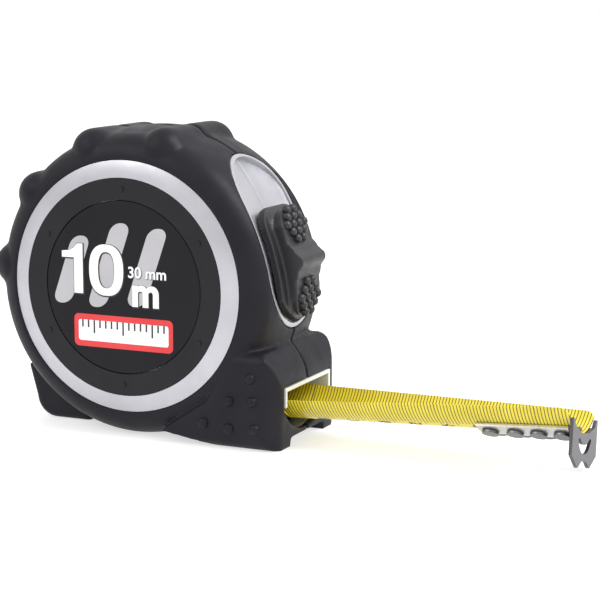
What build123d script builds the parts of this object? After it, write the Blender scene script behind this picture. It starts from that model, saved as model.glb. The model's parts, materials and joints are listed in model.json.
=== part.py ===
"""Pocket tape measure, 10 m x 30 mm, on its base with the tape drawn out and locked.

Millimetres. +X is the way the tape comes out, +Y the belt clip side, +Z up. The origin is on the
base plane, under the drum axis, halfway across the case. "Near" is the -Y side, "far" the +Y side.
"""
import os
from math import cos, radians, sin

from build123d import *

# --- Case ---------------------------------------------------------------------------------------
axis_height = 46.3      # drum axis above the base
crest_r = 47.6          # rubber at mid-width
shoulder_r = 46.0       # rubber where the shoulder starts to turn in
shoulder_y = 16.0
rim_r = 38.6            # inner edge of the rubber, against the bezel
rim_y = 22.9
grip_wall = 2.0         # rubber over the hard shell
seam_gap = 0.15         # half the groove between the two grips
drum_room_r = 40.3      # inside of the shells, round the drum
drum_room_y = 18.4
nose_back_x = 12.0      # room for the tape and brake in the mouth block
nose_wall_x = 43.0
nose_room_y = 17.6
nose_floor_z = 3.4
nose_roof_z = 20.5
screw_r = 1.45
screw_head_r = 2.3
screw_head = 1.6
screw_reach = 14.0
screw_circle_r = 43.0
screw_angles = (92.5, 158.5, 235.0)
barrel_seat_y = 16.8
nose_screw_x = 42.0
nose_screw_z = 23.8
nose_seat_y = 20.8

# --- Mouth block and feet -----------------------------------------------------------------------
front_x = 50.3
block_top = 29.3
block_half = 23.35
block_corner = 6.0      # plan radius of the front corners
block_edge = 4.0        # radius along the block's long edges
block_bend_z = 17.3     # the front face is upright up to here
block_root_r = 42.5     # the block meets the barrel here, from the drum axis
heel_x = 30.0           # front foot touches down from here forward
arch_half = 12.0        # arch between the front feet
arch_height = 2.6
arch_depth = 7.0
foot_half = 10.0        # rear foot
foot_front_x = -21.0
foot_back_x = -36.0
dome_r = 2.4            # small grip domes beside the front foot
dome_rise = 0.9
dome_places = ((42.2, 22.0), (35.2, 14.7), (42.8, 15.1), (26.8, 7.4), (35.2, 6.4), (43.6, 6.9))

# --- Ridges over the back -----------------------------------------------------------------------
ridge_r = 7.0
ridge_centre_r = 42.3
ridge_half = 15.5
ridge_first = 76.0
ridge_step = 33.0
ridge_count = 4

# --- Side discs ---------------------------------------------------------------------------------
badge_y = 24.25
badge_r = 26.3
badge_wall = 1.2
bezel_in_r = 33.1
bezel_out_r = 38.2
bezel_top_y = 24.15
bezel_low_y = 22.65
inlay_wall = 1.5
inlay_gap = 0.15
stud_r = 0.8
stud_circle_r = 29.7
stud_rise = 0.3

# --- Thumb channel ------------------------------------------------------------------------------
slot_angle = 20.5       # middle of the channel, seen from the drum axis
slot_length = 55.0
slot_width = 31.0
scoop_r = 79.0          # side-view radius of the channel
scoop_reach = 44.2      # channel edge from the drum axis, at the middle
scoop_dish = 1.7        # how much deeper the channel is at mid-width
slot_rim = 1.1
slot_rim_rise = 0.4

# --- Tape ---------------------------------------------------------------------------------------
tape_width = 30.0
tape_wall = 0.25
tape_out = 87.0         # drawn length, mouth to hook
tape_yaw = 2.5          # the drawn tape leans to the near side
tape_pitch = 2.7
mouth_tape_z = 14.2     # tape edges at the mouth
mouth_tape_y = -1.3
mouth_curve_r = 14.0    # cross-section radius at the mouth
tip_curve_r = 15.0      # a little flatter where it is riveted to the hook
tip_roll = 14.0
feed_gap = 0.3          # between the drawn tape and the stretch inside the case

# --- Drum ---------------------------------------------------------------------------------------
spindle_r = 4.0
spindle_y = 20.4
running_gap = 0.05
hub_r = 22.0
hub_wall = 1.6
coil_r = 31.5
flange_r = 34.0
flange_wall = 0.9
drum_half = 15.4
spring_wall = 0.5
spring_pitch = 1.6
spring_turns = 8
spring_half = 7.0

# --- Mouth trim ---------------------------------------------------------------------------------
mouth_half = 16.3
mouth_leg_z = 12.5      # the trim's legs stop here
mouth_top_z = 18.4
mouth_trough_r = 18.4   # rounded floor of the mouth, clear of the hook's rivets
mouth_trough_z = 22.5   # its centre
trim_wall = 1.1
trim_depth = 9.0
trim_proud = 0.3

# --- Tape guides, either side under the tape behind the mouth -----------------------------------
guide_x = (30.0, 40.5)
guide_half = 14.0
guide_height = 3.6
guide_trough_r = 18.6
guide_trough_z = 21.9

# --- End hook -----------------------------------------------------------------------------------
hook_width = 22.0
hook_low = -16.4        # its bottom, from the tape's edges
hook_wall = 1.0
tongue_width = 17.0
tongue_length = 28.5
rivet_r = 1.25
rivet_head_r = 2.5
rivet_head = 0.7
rivet_top_r = 2.1       # flat heads inside the trough
rivet_top = 0.4
rivet_lift = 0.2        # heads off the tape and the tongue
rivet_rows = (3.5, 10.5, 17.5, 25.0)
rivet_half = 5.0
hook_play = 1.0
hook_stand = 0.2        # tongue below the tape
hook_top = -2.6         # tops of the ears
smile_half = 5.8
slide_gap = 0.1         # hook slots round the rivets, each side

# --- Thumb lock and brake -----------------------------------------------------------------------
thumb_half = 12.0
thumb_gap = 0.6         # beside the channel's rim
thumb_under = 0.3       # skirt below the channel's edge, over the dished floor
thumb_skirt = 2.2
thumb_top = 32.0        # angles seen from the drum axis
thumb_low = -14.0
pad_half = 8.5
pad_stud_r = 1.0
pad_stud_rise = 0.7
pad_top_r = 49.7
pad_low_r = 50.5
stem_half = 3.0
stem_low = -6.0
stem_high = 6.0
tail_half = 5.0
tail_low = -22.0
tail_top = -2.0
tail_r = 69.5           # from the channel's own centre
tail_wall = 2.6
lock_rise = 17.0        # how far the stem's slot runs on upwards
brake_pin_r = 1.5
brake_pin_x = 31.0
brake_pin_z = 17.0
brake_pin_y = 19.5
lever_half = 5.0
lever_room_x = (28.0, 38.5)
lever_room_y = 7.0
lever_room_z = (18.0, 32.5)
shoe_x = (14.0, 21.0)
shoe_half = 4.0
shoe_low_z = 13.1
shoe_top_z = 14.4

# --- Belt clip ----------------------------------------------------------------------------------
clip_width = 20.0
clip_length = 46.0
clip_wall = 1.0
clip_gap = 5.4
clip_root_z = 19.0      # above the drum axis
clip_screw_r = 2.0
clip_screw_reach = 5.5
clip_stand = 0.1        # clip root off the badge

os.makedirs("parts", exist_ok=True)
disc_centre = (0, 0, axis_height)
disc_axis = Axis(disc_centre, (0, 1, 0))
section = Plane(origin=disc_centre, x_dir=(0, 1, 0), z_dir=(1, 0, 0))


def polar(r, angle):
    """Point (x, z) at r from the drum axis, angle up from +X."""
    return (r * cos(radians(angle)), axis_height + r * sin(radians(angle)))


scoop_centre = polar(scoop_reach - scoop_r, slot_angle)


def scoop_point(r, angle):
    """Point (x, z) at r from the channel's own centre, at an angle seen from the drum axis."""
    reach = scoop_reach - scoop_r
    turn = radians(angle - slot_angle)
    along = reach * cos(turn) + (r * r - (reach * sin(turn)) ** 2) ** 0.5
    return polar(along, angle)


def finish(part, name):
    """Label a finished piece and write it out."""
    part.label = name
    export_step(part, f"parts/{name}.step")
    print(f"{name:16s} {len(part.solids())} solid(s) {part.volume:10.1f} mm3", flush=True)


# --- Forms shared by the shells and grips -------------------------------------------------------
def barrel(inset):
    """Round body: a low crown across the width and a turned-in shoulder each side."""
    side = rim_y - inset
    with BuildPart() as body:
        with BuildSketch(section):
            with BuildLine():
                crest = ThreePointArc(
                    (-shoulder_y, shoulder_r - inset), (0, crest_r - inset), (shoulder_y, shoulder_r - inset)
                )
                far = TangentArc(crest @ 1, (side, rim_r - inset), tangent=crest % 1)
                near = TangentArc(crest @ 0, (-side, rim_r - inset), tangent=-(crest % 0))
                Polyline(far @ 1, (side, 0), (-side, 0), near @ 1)
            make_face()
        revolve(axis=disc_axis)
    return body.part


def mouth_block(inset):
    """Nose of the case: its side outline, rounded in plan and in front view."""
    nose_x, top, half = front_x - inset, block_top - inset, block_half - inset
    with BuildPart() as block:
        with BuildSketch(Plane.XZ):
            with BuildLine():
                front = Line((nose_x, inset), (nose_x, block_bend_z))
                brow = TangentArc(front @ 1, (nose_x - 5.3, top), tangent=(0, 1))
                Polyline(brow @ 1, polar(block_root_r, -16), polar(block_root_r, -50),
                         (12 + 2 * inset, 3.4 + inset), (18 + inset, 2.3 + inset), (26.5, 0.7 + inset),
                         (heel_x, inset), front @ 0)
            make_face()
        extrude(amount=half, both=True)
        with BuildSketch(Plane.XY):
            RectangleRounded(2 * nose_x, 2 * half, block_corner - inset)
        extrude(amount=block_top, mode=Mode.INTERSECT)
        with BuildSketch(Plane.YZ.offset(-1)):
            with Locations((0, (top + inset) / 2)):
                RectangleRounded(2 * half, top - inset, block_edge - inset / 2)
        extrude(amount=front_x + 2, mode=Mode.INTERSECT)
    return block.part


def case_form(inset):
    """Barrel and mouth block, cut flat at the base."""
    with BuildPart() as form:
        add(barrel(inset))
        add(mouth_block(inset))
        split(bisect_by=Plane.XY.offset(inset), keep=Keep.TOP)
    return form.part


def slot_prism(grow):
    """Round-ended column over the thumb channel, cut outwards from inside the wall."""
    x, z = polar(drum_room_r - 6, slot_angle)
    out = (cos(radians(slot_angle)), 0, sin(radians(slot_angle)))
    with BuildPart() as prism:
        with BuildSketch(Plane(origin=(x, 0, z), x_dir=(-out[2], 0, out[0]), z_dir=out)):
            SlotOverall(slot_length + 2 * grow, slot_width + 2 * grow)
        extrude(amount=25)
    return prism.part


def outside_channel(edge_r, dish):
    """Everything further out than the channel's surface, which is dished across the width."""
    x, z = scoop_centre
    half = slot_width / 2
    with BuildPart() as cutter:
        with BuildSketch(Plane(origin=(x, 0, z), x_dir=(0, 1, 0), z_dir=(1, 0, 0))):
            with BuildLine():
                if dish:
                    floor = ThreePointArc((-half, edge_r), (0, edge_r - dish), (half, edge_r))
                else:
                    floor = Line((-half, edge_r), (half, edge_r))
                Polyline(floor @ 1, (slot_width, edge_r), (slot_width, edge_r + 20),
                         (-slot_width, edge_r + 20), (-slot_width, edge_r), floor @ 0)
            make_face()
        revolve(axis=Axis((x, 0, z), (0, 1, 0)), revolution_arc=120)
    return cutter.part


def sector(low, high, outer):
    """Slab across the whole width, between two angles seen from the drum axis."""
    with BuildPart() as slab:
        with BuildSketch(Plane.XZ):
            with BuildLine():
                Polyline((0, axis_height), polar(outer, low), polar(outer, (low + high) / 2),
                         polar(outer, high), close=True)
            make_face()
        extrude(amount=40, both=True)
    return slab.part


def ridge_at(angle):
    """One rounded ridge lying across the width."""
    x, z = polar(ridge_centre_r, angle)
    with BuildPart() as ridge:
        with Locations(Location((x, 0, z), (90, 0, 0))):
            Cylinder(ridge_r, 2 * ridge_half)
        with Locations((x, -ridge_half, z), (x, ridge_half, z)):
            Sphere(ridge_r)
    return ridge.part


def rear_foot():
    """Heel under the back of the case."""
    with BuildPart() as foot:
        with BuildSketch(Plane.XZ):
            with BuildLine():
                sole = Line((foot_front_x, 0), (foot_back_x + 2.5, 0))
                back = TangentArc(sole @ 1, (foot_back_x - 4.5, 6.5), tangent=(-1, 0))
                Polyline(back @ 1, (foot_back_x - 7.5, 17), (foot_back_x + 8, 16),
                         (foot_front_x, 6), sole @ 0)
            make_face()
        extrude(amount=foot_half, both=True)
        fillet(foot.edges().filter_by(Axis.Y, reverse=True).group_by(Axis.Y)[0], 2.0)
        fillet(foot.edges().filter_by(Axis.Y, reverse=True).group_by(Axis.Y)[-1], 2.0)
    return foot.part


def mouth_room(grow, depth):
    """Passage for the tape and its trim, from the front face inwards: square above, rounded below."""
    top = mouth_top_z + grow
    with BuildPart() as room:
        with BuildSketch(Plane.YZ.offset(front_x + 1)):
            with Locations((mouth_tape_y, mouth_trough_z)):
                Circle(mouth_trough_r + grow)
            with Locations((0, top / 2)):
                Rectangle(2 * (mouth_half + grow), top, mode=Mode.INTERSECT)
            with Locations((0, (top + mouth_leg_z - grow) / 2)):
                Rectangle(2 * (mouth_half + grow), top - mouth_leg_z + grow)
        extrude(amount=-(depth + 1))
    return room.part


def foot_arch():
    """Clear space between the front feet."""
    with BuildPart() as arch:
        with BuildSketch(Plane.XY):
            with Locations((front_x, 0)):
                RectangleRounded(2 * arch_depth, 2 * arch_half, 3)
        extrude(amount=arch_height)
        fillet(arch.edges().filter_by(Axis.Y).group_by(Axis.Z)[-1], 1.5)
    return arch.part


def common(first, second):
    """What two forms share."""
    with BuildPart() as shared:
        add(first)
        add(second, mode=Mode.INTERSECT)
    return shared.part


def drum_room():
    """Round hollow for the drum."""
    with BuildPart() as room:
        with BuildSketch(Plane.XZ):
            with Locations((0, axis_height)):
                Circle(drum_room_r)
        extrude(amount=drum_room_y, both=True)
    return room.part


def box(x, y_half, z):
    """Straight-sided hollow, the same each side of mid-width."""
    with BuildPart() as room:
        with BuildSketch(Plane.XZ):
            with Locations(((x[0] + x[1]) / 2, (z[0] + z[1]) / 2)):
                Rectangle(x[1] - x[0], z[1] - z[0])
        extrude(amount=y_half, both=True)
    return room.part


def cross_pin(x, z, r, low_y, high_y):
    """Round bar along Y."""
    with BuildPart() as bar:
        with BuildSketch(Plane.XZ.offset(-high_y)):
            with Locations((x, z)):
                Circle(r)
        extrude(amount=high_y - low_y)
    return bar.part


# --- Case screws: places in side view, and how deep each head sits on the far side --------------
screw_seats = [(*polar(screw_circle_r, a), barrel_seat_y) for a in screw_angles]
screw_seats += [(nose_screw_x, nose_screw_z, nose_seat_y)]


def screw_cuts(hole_r, pocket_r):
    """Clearance for every case screw: shank from the seat inwards, pocket from the seat out."""
    with BuildPart() as cuts:
        for x, z, seat_y in screw_seats:
            add(cross_pin(x, z, hole_r, -screw_reach, seat_y))
            add(cross_pin(x, z, pocket_r, seat_y - screw_head, badge_y))
    return cuts.part


# --- Hard shells --------------------------------------------------------------------------------
with BuildPart() as shell_pair:
    add(case_form(grip_wall))
    # Bezels that ring the discs on both sides
    with BuildSketch(section):
        with BuildLine():
            Polyline((rim_y - grip_wall - 1, 0), (bezel_low_y, 0), (bezel_low_y, bezel_in_r),
                     (bezel_top_y, bezel_in_r), (bezel_low_y, bezel_out_r),
                     (rim_y - grip_wall - 1, bezel_out_r), close=True)
        make_face()
        mirror(about=Plane.YZ)
    revolve(axis=disc_axis)
    # Thumb channel: a raised rim round a dished floor
    add(common(common(slot_prism(0), barrel(0.05)), sector(-40, 80, 60)))
    add(common(slot_prism(0), outside_channel(scoop_r, 0)), mode=Mode.SUBTRACT)
    add(common(slot_prism(-slot_rim), outside_channel(scoop_r - slot_rim_rise, scoop_dish)),
        mode=Mode.SUBTRACT)
    # Hollows
    add(drum_room(), mode=Mode.SUBTRACT)
    add(box((nose_back_x, nose_wall_x), nose_room_y, (nose_floor_z, nose_roof_z)), mode=Mode.SUBTRACT)
    add(box(lever_room_x, lever_room_y, lever_room_z), mode=Mode.SUBTRACT)
    add(mouth_room(0, trim_depth), mode=Mode.SUBTRACT)
    add(foot_arch(), mode=Mode.SUBTRACT)
    # Slot for the thumb lock's stem
    with BuildSketch(Plane.XZ):
        with BuildLine():
            Polyline(polar(drum_room_r - 5, stem_low - 2), polar(60, stem_low - 2),
                     polar(60, stem_high + lock_rise + 2), polar(drum_room_r - 5, stem_high + lock_rise + 2),
                     close=True)
        make_face()
    extrude(amount=stem_half + 0.4, both=True, mode=Mode.SUBTRACT)
    # Seats for the drum spindle, the brake pin and the screws
    add(cross_pin(0, axis_height, spindle_r, -spindle_y, spindle_y), mode=Mode.SUBTRACT)
    add(cross_pin(brake_pin_x, brake_pin_z, brake_pin_r, -brake_pin_y, brake_pin_y), mode=Mode.SUBTRACT)
    add(screw_cuts(screw_r, screw_head_r + 0.1), mode=Mode.SUBTRACT)
    add(cross_pin(0, axis_height + clip_root_z, clip_screw_r, badge_y - clip_screw_reach, badge_y),
        mode=Mode.SUBTRACT)

with BuildPart() as near_shell:
    add(shell_pair.part)
    split(bisect_by=Plane.XZ, keep=Keep.TOP)
finish(near_shell.part, "near_shell")

with BuildPart() as far_shell:
    add(shell_pair.part)
    split(bisect_by=Plane.XZ, keep=Keep.BOTTOM)
finish(far_shell.part, "far_shell")


# --- Rubber grips -------------------------------------------------------------------------------
with BuildPart() as grip_pair:
    add(case_form(0))
    for k in range(ridge_count):
        add(ridge_at(ridge_first + k * ridge_step))
    add(rear_foot())
    add(case_form(grip_wall), mode=Mode.SUBTRACT)
    with BuildSketch(Plane.XZ):
        with Locations((0, axis_height)):
            Circle(bezel_out_r + 0.05)
    extrude(amount=badge_y + 5, both=True, mode=Mode.SUBTRACT)
    add(slot_prism(0.1), mode=Mode.SUBTRACT)
    add(mouth_room(0.2, grip_wall + 1), mode=Mode.SUBTRACT)
    add(foot_arch(), mode=Mode.SUBTRACT)
    add(screw_cuts(screw_r, screw_head_r + 0.1), mode=Mode.SUBTRACT)
    # Small domes beside the front foot, both sides
    for side in (-1, 1):
        for x, z in dome_places:
            with Locations((x, side * (block_half + dome_rise - dome_r), z)):
                Sphere(dome_r)
    add(case_form(grip_wall), mode=Mode.SUBTRACT)

with BuildPart() as near_grip:
    add(grip_pair.part)
    split(bisect_by=Plane.XZ.offset(seam_gap), keep=Keep.TOP)
finish(near_grip.part, "near_grip")

with BuildPart() as far_grip:
    add(grip_pair.part)
    split(bisect_by=Plane.XZ.offset(-seam_gap), keep=Keep.BOTTOM)
finish(far_grip.part, "far_grip")


# --- Side discs ---------------------------------------------------------------------------------
for side, name in ((1, "near"), (-1, "far")):
    seat = Plane.XZ.offset(side * bezel_low_y)
    with BuildPart() as inlay:
        with BuildSketch(seat):
            with Locations((0, axis_height)):
                Circle(bezel_in_r - inlay_gap)
                Circle(badge_r + inlay_gap, mode=Mode.SUBTRACT)
        extrude(amount=side * inlay_wall)
        with BuildSketch(seat):
            with Locations((0, axis_height)):
                with PolarLocations(stud_circle_r, 6, start_angle=30):
                    Circle(stud_r)
        extrude(amount=side * (inlay_wall + stud_rise))
    finish(inlay.part, name + "_inlay")

    with BuildPart() as badge:
        with BuildSketch(seat):
            with Locations((0, axis_height)):
                Circle(badge_r)
        extrude(amount=side * (badge_y - bezel_low_y))
        chamfer(badge.edges().filter_by(GeomType.CIRCLE).group_by(Axis.Y)[0 if side > 0 else -1], 0.3)
        if name == "far":
            add(cross_pin(0, axis_height + clip_root_z, clip_screw_r, bezel_low_y, badge_y), mode=Mode.SUBTRACT)
    finish(badge.part, name + "_badge")


# --- Case screws, spindle and brake pin ---------------------------------------------------------
with BuildPart() as case_screws:
    for x, z, seat_y in screw_seats:
        add(cross_pin(x, z, screw_r, -screw_reach, seat_y - screw_head))
        add(cross_pin(x, z, screw_head_r, seat_y - screw_head, seat_y))
        with BuildSketch(Plane.XZ.offset(-seat_y)):
            with Locations((x, z)):
                Rectangle(3.2, 0.8)
                Rectangle(0.8, 3.2)
        extrude(amount=0.9, mode=Mode.SUBTRACT)
finish(case_screws.part, "case_screws")

with BuildPart() as spindle:
    add(cross_pin(0, axis_height, spindle_r, -spindle_y, spindle_y))
    chamfer(spindle.edges().filter_by(GeomType.CIRCLE), 0.4)
finish(spindle.part, "spindle")

with BuildPart() as brake_pin:
    add(cross_pin(brake_pin_x, brake_pin_z, brake_pin_r, -brake_pin_y, brake_pin_y))
finish(brake_pin.part, "brake_pin")


# --- Drum with its return spring ----------------------------------------------------------------
def ring(outer, inner, low_y, high_y):
    """Flat ring about the drum axis."""
    with BuildPart() as band:
        with BuildSketch(Plane.XZ.offset(-high_y)):
            with Locations((0, axis_height)):
                Circle(outer)
                Circle(inner, mode=Mode.SUBTRACT)
        extrude(amount=high_y - low_y)
    return band.part


with BuildPart() as drum_hub:
    add(ring(hub_r, hub_r - hub_wall, -drum_half, drum_half))
finish(drum_hub.part, "drum_hub")

for side, name in ((-1, "near"), (1, "far")):
    inside, outside = drum_half, drum_half + flange_wall
    with BuildPart() as flange:
        add(ring(flange_r, spindle_r + running_gap, *sorted((side * inside, side * outside))))
        add(ring(spindle_r + 3, spindle_r + running_gap,
                 *sorted((side * outside, side * (drum_room_y - 0.5)))))
        with BuildSketch(Plane.XZ.offset(-side * inside)):
            with Locations((0, axis_height)):
                with PolarLocations((hub_r + flange_r) / 2, 6):
                    Circle(3.5)
        extrude(amount=-side * flange_wall, mode=Mode.SUBTRACT)
    finish(flange.part, name + "_flange")

with BuildPart() as tape_coil:
    add(ring(coil_r, hub_r, -tape_width / 2, tape_width / 2))
finish(tape_coil.part, "tape_coil")

spring_starts = [spindle_r + 1.2 + k * spring_pitch / 2 for k in range(2 * spring_turns + 1)]
with BuildPart() as return_spring:
    with BuildSketch(Plane.XZ.offset(-spring_half)):
        with BuildLine():
            # Half-turns whose ends lie left and right of the axis, each a little further out
            for grow in (0, spring_wall):
                for k in range(2 * spring_turns):
                    way = 1 if k % 2 == 0 else -1
                    start, end = way * (spring_starts[k] + grow), -way * (spring_starts[k + 1] + grow)
                    middle, r = (start + end) / 2, abs(start - end) / 2
                    ThreePointArc((start, axis_height), (middle, axis_height + way * r), (end, axis_height))
            Line((spring_starts[0], axis_height), (spring_starts[0] + spring_wall, axis_height))
            Line((spring_starts[-1], axis_height), (spring_starts[-1] + spring_wall, axis_height))
        make_face()
    extrude(amount=2 * spring_half)
finish(return_spring.part, "return_spring")


# --- Tape ---------------------------------------------------------------------------------------
blade_start_x = front_x - 2.5
blade_length = tape_out + front_x - blade_start_x
blade_way = Vector(
    cos(radians(tape_pitch)) * cos(radians(tape_yaw)),
    -cos(radians(tape_pitch)) * sin(radians(tape_yaw)),
    sin(radians(tape_pitch)),
)


def blend(low, high, share):
    return low + (high - low) * share


def blade_plane(share):
    """Plane across the drawn tape; its origin is midway between the tape's edges."""
    place = Vector(blade_start_x, mouth_tape_y, mouth_tape_z) + blade_way * (blade_length * share)
    level = Vector(sin(radians(tape_yaw)), cos(radians(tape_yaw)), 0)
    across = level.rotate(Axis((0, 0, 0), blade_way), -tip_roll * share)
    return Plane(origin=place, x_dir=across, z_dir=blade_way)


def blade_curve(share):
    return 1 / blend(1 / mouth_curve_r, 1 / tip_curve_r, share)


def strip_section(plane, curve_r, width, low, high):
    """Strip curved to curve_r about a centre above it, between two depths below the tape's top face."""
    tape_edge, edge = tape_width / 2 / curve_r, width / 2 / curve_r
    centre = curve_r * cos(tape_edge)
    with BuildSketch(plane) as strip:
        with BuildLine():
            inner, outer = (
                ThreePointArc(*((r * sin(a), centre - r * cos(a)) for a in (-edge, 0, edge)))
                for r in (curve_r + low, curve_r + high)
            )
            Line(inner @ 0, outer @ 0)
            Line(inner @ 1, outer @ 1)
        make_face()
    return strip.sketch


def blade_share(back):
    """Share of the drawn tape at a distance back from its end."""
    return 1 - back / blade_length


def rivet_plane(back, across):
    """Plane on the tape's top face at a rivet, looking up out of the trough."""
    share = blade_share(back)
    curve_r, plane = blade_curve(share), blade_plane(share)
    a = across / curve_r
    centre = curve_r * cos(tape_width / 2 / curve_r)
    place = plane.from_local_coords((curve_r * sin(a), centre - curve_r * cos(a), 0))
    up = plane.from_local_coords((0, centre, 0)) - place
    return Plane(origin=place, x_dir=blade_way, z_dir=up)


rivet_planes = [rivet_plane(back, across) for back in rivet_rows for across in (-rivet_half, rivet_half)]

with BuildPart() as tape_feed:
    coil_z = axis_height - coil_r - 2 * tape_wall
    for share in (0, 0.2, 0.4, 0.6, 0.8):
        place = (blade_start_x * share, mouth_tape_y * share, blend(coil_z, mouth_tape_z, share))
        curve = blend(1 / 400, 1 / mouth_curve_r, share * share * (3 - 2 * share))
        across = Plane(origin=place, x_dir=(0, 1, 0), z_dir=(1, 0, 0))
        add(strip_section(across, 1 / curve, tape_width, 0, tape_wall))
    add(strip_section(blade_plane(0).offset(-feed_gap), mouth_curve_r, tape_width, 0, tape_wall))
    loft()
finish(tape_feed.part, "tape_feed")

with BuildPart() as blade:
    for share in (0, 0.2, 0.4, 0.6, 0.8, 1):
        add(strip_section(blade_plane(share), blade_curve(share), tape_width, 0, tape_wall))
    loft()
    for plane in rivet_planes:
        with BuildSketch(plane.offset(-1)):
            Circle(rivet_r + running_gap)
        extrude(amount=2, mode=Mode.SUBTRACT)
finish(blade.part, "blade")


# --- End hook and its rivets --------------------------------------------------------------------
tongue_top = tape_wall + hook_stand
with BuildPart() as end_hook:
    for back in (-0.3 - hook_wall / 2, tongue_length / 3, tongue_length * 2 / 3, tongue_length):
        share = blade_share(back)
        tongue = strip_section(blade_plane(share), blade_curve(share), tongue_width,
                               tongue_top, tongue_top + hook_wall)
        add(tongue)
    loft()
    for plane in rivet_planes:
        with BuildSketch(plane.offset(-tongue_top - hook_wall - 1)):
            SlotCenterToCenter(2 * hook_play, 2 * (rivet_r + slide_gap))
        extrude(amount=hook_wall + 1.5, mode=Mode.SUBTRACT)
    with BuildSketch(blade_plane(1).offset(0.3)):
        with BuildLine():
            half, low, top = hook_width / 2, hook_low, hook_top
            side = Line((-half, top), (-half, low + 3.5))
            Polyline(side @ 1, (-6.6, low + 0.7), (-5.4, low), (-4.2, low + 0.5))
            Line((4.2, low + 0.5), (5.4, low))
            ThreePointArc((-4.2, low + 0.5), (0, low + 2.1), (4.2, low + 0.5))
            Polyline((5.4, low), (6.6, low + 0.7), (half, low + 3.5), (half, top), (half - 1.0, top),
                     (half - 2.4, top - 2.2), (3.6, top - 4.0))
            Line((3.6, top - 4.0), (-3.6, top - 4.0))
            Polyline((-3.6, top - 4.0), (-half + 2.4, top - 2.2), (-half + 1.0, top), side @ 0)
        make_face()
        with BuildLine():
            # Curved slot that hangs over a nail head
            tips = low + 8.2
            ThreePointArc((-smile_half, tips), (0, tips - 4.4), (smile_half, tips))
            Line((smile_half, tips), (smile_half - 1.6, tips))
            ThreePointArc((smile_half - 1.6, tips), (0, tips - 1.7), (-smile_half + 1.6, tips))
            Line((-smile_half + 1.6, tips), (-smile_half, tips))
        make_face(mode=Mode.SUBTRACT)
    extrude(amount=hook_wall)
finish(end_hook.part, "end_hook")

with BuildPart() as hook_rivets:
    for plane in rivet_planes:
        for low, high, r in (
            (rivet_lift, rivet_lift + rivet_top, rivet_top_r),
            (-tongue_top - hook_wall - rivet_lift, rivet_lift, rivet_r),
            (-tongue_top - hook_wall - rivet_lift - rivet_head, -tongue_top - hook_wall - rivet_lift, rivet_head_r),
        ):
            with BuildSketch(plane.offset(low)):
                Circle(r)
            extrude(amount=high - low)
finish(hook_rivets.part, "hook_rivets")


# --- Mouth trim and tape guides -----------------------------------------------------------------
with BuildPart() as mouth_trim:
    with BuildSketch(Plane.YZ.offset(front_x + trim_proud)):
        with Locations((0, (mouth_top_z + mouth_leg_z) / 2)):
            Rectangle(2 * mouth_half, mouth_top_z - mouth_leg_z)
        with Locations((0, (mouth_top_z + mouth_leg_z) / 2 - trim_wall)):
            Rectangle(2 * (mouth_half - trim_wall), mouth_top_z - mouth_leg_z, mode=Mode.SUBTRACT)
    extrude(amount=-trim_depth)
finish(mouth_trim.part, "mouth_trim")

with BuildPart() as tape_guides:
    with BuildSketch(Plane.YZ.offset(guide_x[0])):
        with Locations((0, nose_floor_z + guide_height / 2)):
            Rectangle(2 * guide_half, guide_height)
        with Locations((mouth_tape_y, guide_trough_z)):
            Circle(guide_trough_r, mode=Mode.SUBTRACT)
    extrude(amount=guide_x[1] - guide_x[0])
finish(tape_guides.part, "tape_guides")


# --- Thumb lock ---------------------------------------------------------------------------------
def arc_between(r, start, end):
    """Arc about the channel's centre, between two angles seen from the drum axis."""
    return ThreePointArc(scoop_point(r, start), scoop_point(r, (start + end) / 2), scoop_point(r, end))


under_r = scoop_r - thumb_under
with BuildPart() as thumb_lock:
    with BuildSketch(Plane.XZ):
        with BuildLine():
            lower = arc_between(under_r, thumb_low, thumb_top)
            upper = arc_between(under_r + thumb_skirt, thumb_top, thumb_low)
            Line(lower @ 1, upper @ 0)
            Line(upper @ 1, lower @ 0)
        make_face()
    extrude(amount=thumb_half, both=True)
    fillet(thumb_lock.edges().filter_by(Axis.Y), 1.0)
    with BuildSketch(Plane.XZ):
        with BuildLine():
            foot = arc_between(under_r + thumb_skirt / 2, -11, 30.5)
            Polyline(foot @ 1, polar(49.2, 28.5), polar(49.7, 22.5), polar(49.4, 17.0), polar(51.5, 13.5),
                     polar(57.0, 11.0), polar(57.3, 9.6), polar(56.6, 8.6), polar(52.0, 6.6),
                     polar(50.4, 3.4), polar(50.6, -2.5), polar(49.8, -8.5), foot @ 0)
        make_face()
    extrude(amount=pad_half, both=True)
    # Studs on the two pads, in staggered rows
    for r, middle in ((pad_top_r, 22.8), (pad_low_r, -2.6)):
        for row in range(-2, 3):
            angle = middle + row * 2.6
            x, z = polar(r, angle)
            for column in range(4 - abs(row)):
                y = (column - (3 - abs(row)) / 2) * 3.0
                with Locations(Location((x, y, z), (0, 90 - angle, 0))):
                    Cylinder(pad_stud_r, 2 * pad_stud_rise)
    add(slot_prism(-slot_rim - thumb_gap), mode=Mode.INTERSECT)
    # Stem through the slot, and the tail that works the brake
    with BuildSketch(Plane.XZ):
        with BuildLine():
            inner = arc_between(tail_r - 0.5, stem_low, stem_high)
            outer = arc_between(under_r + 1, stem_high, stem_low)
            Line(inner @ 1, outer @ 0)
            Line(outer @ 1, inner @ 0)
        make_face()
    extrude(amount=stem_half, both=True)
    with BuildSketch(Plane.XZ):
        with BuildLine():
            inner = arc_between(tail_r - tail_wall, tail_low, tail_top)
            outer = arc_between(tail_r, tail_top, tail_low)
            Line(inner @ 1, outer @ 0)
            Line(outer @ 1, inner @ 0)
        make_face()
    extrude(amount=tail_half, both=True)
finish(thumb_lock.part, "thumb_lock")


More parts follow.
